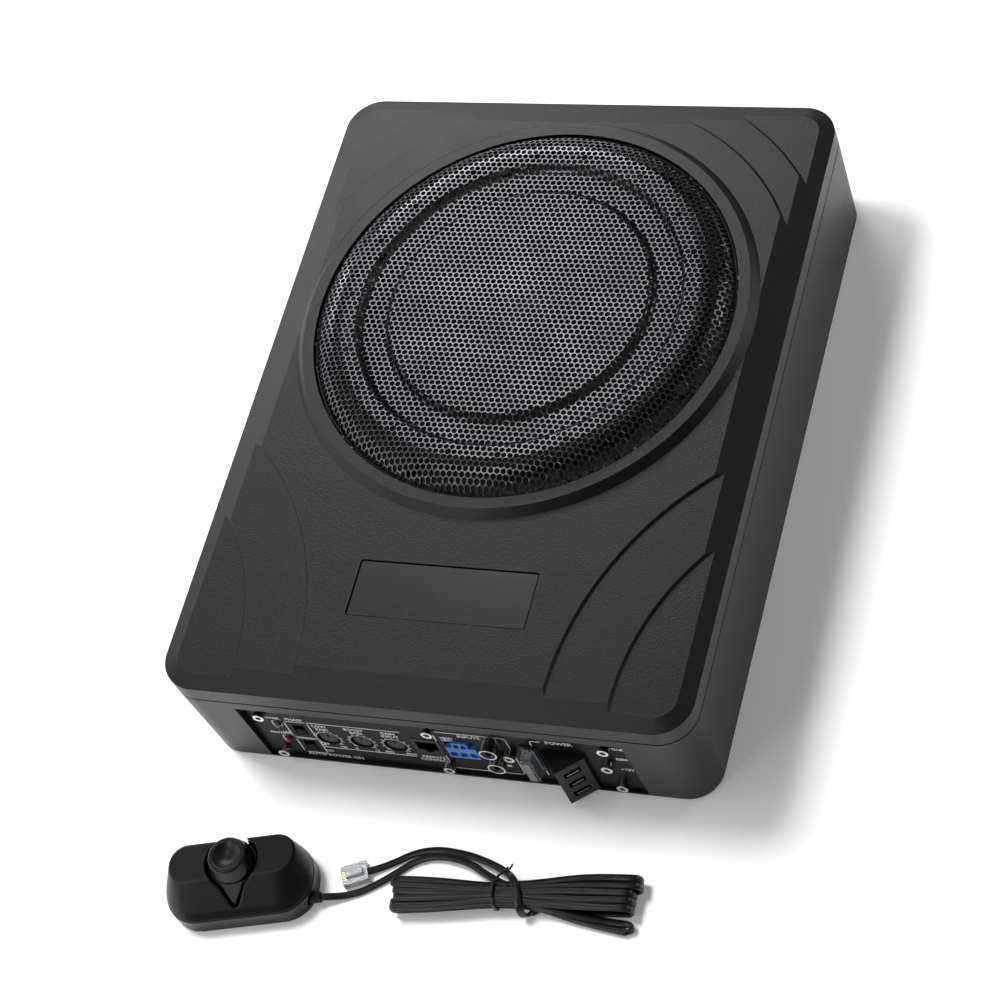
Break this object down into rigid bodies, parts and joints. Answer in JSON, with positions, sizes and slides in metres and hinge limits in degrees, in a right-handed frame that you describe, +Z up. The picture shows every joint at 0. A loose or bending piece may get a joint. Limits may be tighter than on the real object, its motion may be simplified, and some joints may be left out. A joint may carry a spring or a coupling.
{
  "type": "powered car subwoofer",
  "caption": "Shallow powered subwoofer with a domed round grille, a control panel on one end and a wired level remote on a coiled cord.",
  "frame": {"origin": "centre of the case's underside", "axes": "+Z up out of the grille, -Y out of the control panel, +X to the right when facing the panel"},
  "size_m": [0.25, 0.4206, 0.0806],
  "materials": {
    "case_black": "fine textured black powder coat",
    "zinc": "zinc plate",
    "foam": "closed-cell foam",
    "cover_abs": "fine spark-eroded texture, black ABS",
    "grille_steel": "satin dark grey on perforated steel",
    "badge_gloss": "satin gloss",
    "panel_black": "matte black plate",
    "nickel": "bright nickel",
    "led_clear": "water-clear epoxy",
    "led_red": "red epoxy",
    "black_nylon": "moulded nylon",
    "pcb_green": "solder mask",
    "knob_black": "moulded ABS",
    "blue_nylon": "moulded nylon",
    "gold": "gold flash",
    "clear_pc": "clear polycarbonate",
    "copper": "enamelled copper wire",
    "cap_blue": "heat-shrink sleeve",
    "epoxy_black": "moulding compound",
    "aluminium": "extruded",
    "basket_steel": "black powder coat",
    "wire_red": "PVC insulation",
    "paper_black": "pressed paper pulp",
    "butyl": "butyl rubber",
    "spider_cloth": "resin-treated cloth",
    "coil_copper": "wound copper on a former",
    "plated_steel": "zinc-plated steel",
    "ferrite": "ferrite",
    "remote_abs": "fine matte ABS",
    "cord_pvc": "satin PVC"
  },
  "bodies": {
    "case": {"lower_enclosure": "case_black", "cover_screws": "zinc", "lid_seal": "foam", "top_cover": "cover_abs", "grille": "grille_steel", "badge_plate": "badge_gloss", "control_panel": "panel_black", "panel_screws": "nickel", "power_led": "led_clear", "protect_led": "led_red", "switch_housings": "black_nylon", "potentiometers": "pcb_green", "remote_jack": "black_nylon", "speaker_level_connector": "blue_nylon", "socket_contacts": "gold", "rca_block": "black_nylon", "rca_shells": "nickel", "rca_inserts": "black_nylon", "fuse_holder": "black_nylon", "terminal_block": "black_nylon", "terminal_clamps": "nickel", "terminal_screws": "zinc", "amplifier_board": "pcb_green", "board_screws": "zinc", "toroid_transformer": "copper", "filter_capacitors": "cap_blue", "power_transistors": "epoxy_black", "heatsink_bar": "aluminium", "driver_basket": "basket_steel", "driver_gasket": "foam", "driver_screws": "basket_steel", "driver_terminals": "gold", "speaker_wires": "wire_red", "surround": "butyl", "spider": "spider_cloth", "top_plate": "plated_steel", "magnet": "ferrite", "back_plate": "plated_steel"},
    "cone_assembly": {"cone": "paper_black", "dust_cap": "paper_black", "voice_coil": "coil_copper"},
    "low_pass": {"low_pass_knob": "knob_black"},
    "bass_boost": {"bass_boost_knob": "knob_black"},
    "input_gain": {"input_gain_knob": "knob_black"},
    "phase_switch": {"phase_slider": "black_nylon"},
    "auto_power_switch": {"auto_power_slider": "black_nylon"},
    "fuse": {"blade_fuse": "clear_pc"},
    "remote": {"remote_base": "remote_abs", "remote_top": "remote_abs", "remote_collar": "remote_abs", "remote_pot": "pcb_green", "remote_screws": "zinc", "remote_grommet": "butyl", "remote_lead": "cord_pvc", "cord_hank": "cord_pvc", "plug_lead": "cord_pvc", "hank_tie": "cord_pvc", "plug_body": "clear_pc", "plug_contacts": "gold"},
    "remote_dial": {"remote_knob": "remote_abs"}
  },
  "joints": [
    {"name": "cone_travel", "type": "slide", "parent": "case", "child": "cone_assembly", "axis": [0, 0, 1], "range_m": [-0.005, 0.005], "stiffness_N_per_m": 3000, "springref_m": 0.0003, "deforming": ["surround", "spider"]},
    {"name": "low_pass_turn", "type": "hinge", "parent": "case", "child": "low_pass", "pos_m": [-0.0565, -0.1628, 0.0215], "axis": [0, -1, 0], "range_deg": [-140, 140]},
    {"name": "bass_boost_turn", "type": "hinge", "parent": "case", "child": "bass_boost", "pos_m": [-0.04, -0.1628, 0.0215], "axis": [0, -1, 0], "range_deg": [-140, 140]},
    {"name": "input_gain_turn", "type": "hinge", "parent": "case", "child": "input_gain", "pos_m": [-0.0235, -0.1628, 0.0215], "axis": [0, -1, 0], "range_deg": [-140, 140]},
    {"name": "phase_switch_slide", "type": "slide", "parent": "case", "child": "phase_switch", "axis": [0, 0, 1], "range_m": [0, 0.004]},
    {"name": "auto_power_switch_slide", "type": "slide", "parent": "case", "child": "auto_power_switch", "axis": [0, 0, 1], "range_m": [0, 0.004]},
    {"name": "fuse_pull", "type": "slide", "parent": "case", "child": "fuse", "axis": [0, -1, 0], "range_m": [0, 0.012]},
    {"name": "remote_lift", "type": "slide", "parent": "case", "child": "remote", "axis": [0, 0, 1], "range_m": [0, 0.04]},
    {"name": "remote_dial_turn", "type": "hinge", "parent": "remote", "child": "remote_dial", "pos_m": [-0.08521, -0.22715, 0.024], "axis": [0, 0, 1], "range_deg": [-140, 140]}
  ]
}
